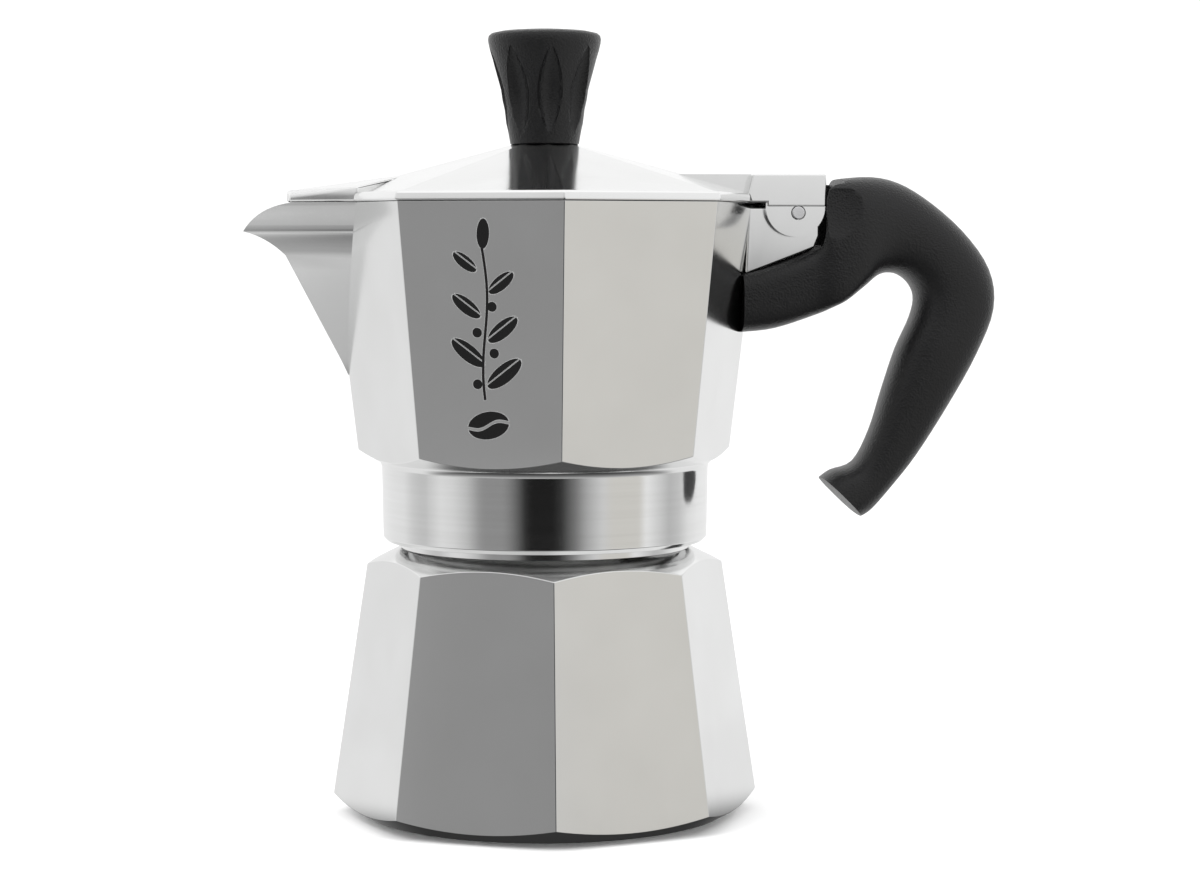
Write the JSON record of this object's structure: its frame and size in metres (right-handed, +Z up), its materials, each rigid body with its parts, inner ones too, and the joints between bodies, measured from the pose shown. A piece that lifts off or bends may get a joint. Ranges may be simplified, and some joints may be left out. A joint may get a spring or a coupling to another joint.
{
  "type": "moka pot",
  "caption": "Octagonal aluminium stove-top moka pot that unscrews in the middle, with a coffee funnel, a hinged lid with a fluted knob, a side handle and a safety valve.",
  "frame": {"origin": "centre of the flat base on the surface that the pot stands on", "axes": "+Z up along the pot's axis, +X towards the handle, -X towards the spout"},
  "size_m": [0.1545, 0.0894, 0.16],
  "materials": {
    "polished_aluminium": "polished",
    "spun_aluminium": "satin, turned",
    "white_rubber": "matt",
    "fibre_washer": "matt pressed fibre",
    "black_plastic": "fine grained satin",
    "valve_brass": "turned",
    "bright_steel": "bright"
  },
  "bodies": {
    "boiler": {"boiler": "polished_aluminium", "valve_body": "valve_brass", "valve_washer": "fibre_washer", "valve_retainer": "valve_brass", "valve_spring": "bright_steel"},
    "valve_plunger": {"valve_plunger": "bright_steel"},
    "funnel": {"funnel": "spun_aluminium", "funnel_plate": "spun_aluminium"},
    "collector": {"collector": "polished_aluminium", "gasket": "white_rubber", "filter_plate": "spun_aluminium", "handle": "black_plastic", "handle_screw": "bright_steel"},
    "lid": {"lid": "polished_aluminium", "hinge_pin": "bright_steel", "knob": "black_plastic", "knob_insert": "valve_brass", "knob_washer": "bright_steel", "knob_screw": "bright_steel"}
  },
  "joints": [
    {"name": "valve_slide", "type": "slide", "parent": "boiler", "child": "valve_plunger", "axis": [-0.3437, 0.929, 0.1371], "range_m": [0, 0.0015], "stiffness_N_per_m": 800, "springref_m": -0.0012, "deforming": ["valve_spring"]},
    {"name": "funnel_rise", "type": "slide", "parent": "boiler", "child": "funnel", "axis": [0, 0, 1], "range_m": [0, 0.0071]},
    {"name": "collector_turn", "type": "hinge", "parent": "funnel", "child": "collector", "pos_m": [0, 0, 0.0625], "axis": [0, 0, 1], "range_deg": [0, 720]},
    {"name": "lid_hinge", "type": "hinge", "parent": "collector", "child": "lid", "pos_m": [0.051, 0, 0.1229], "axis": [0, 1, 0], "range_deg": [0, 100]}
  ],
  "couplings": [
    {"joint": "funnel_rise", "follows": "collector_turn", "m_per_rad": 0.00055704}
  ]
}
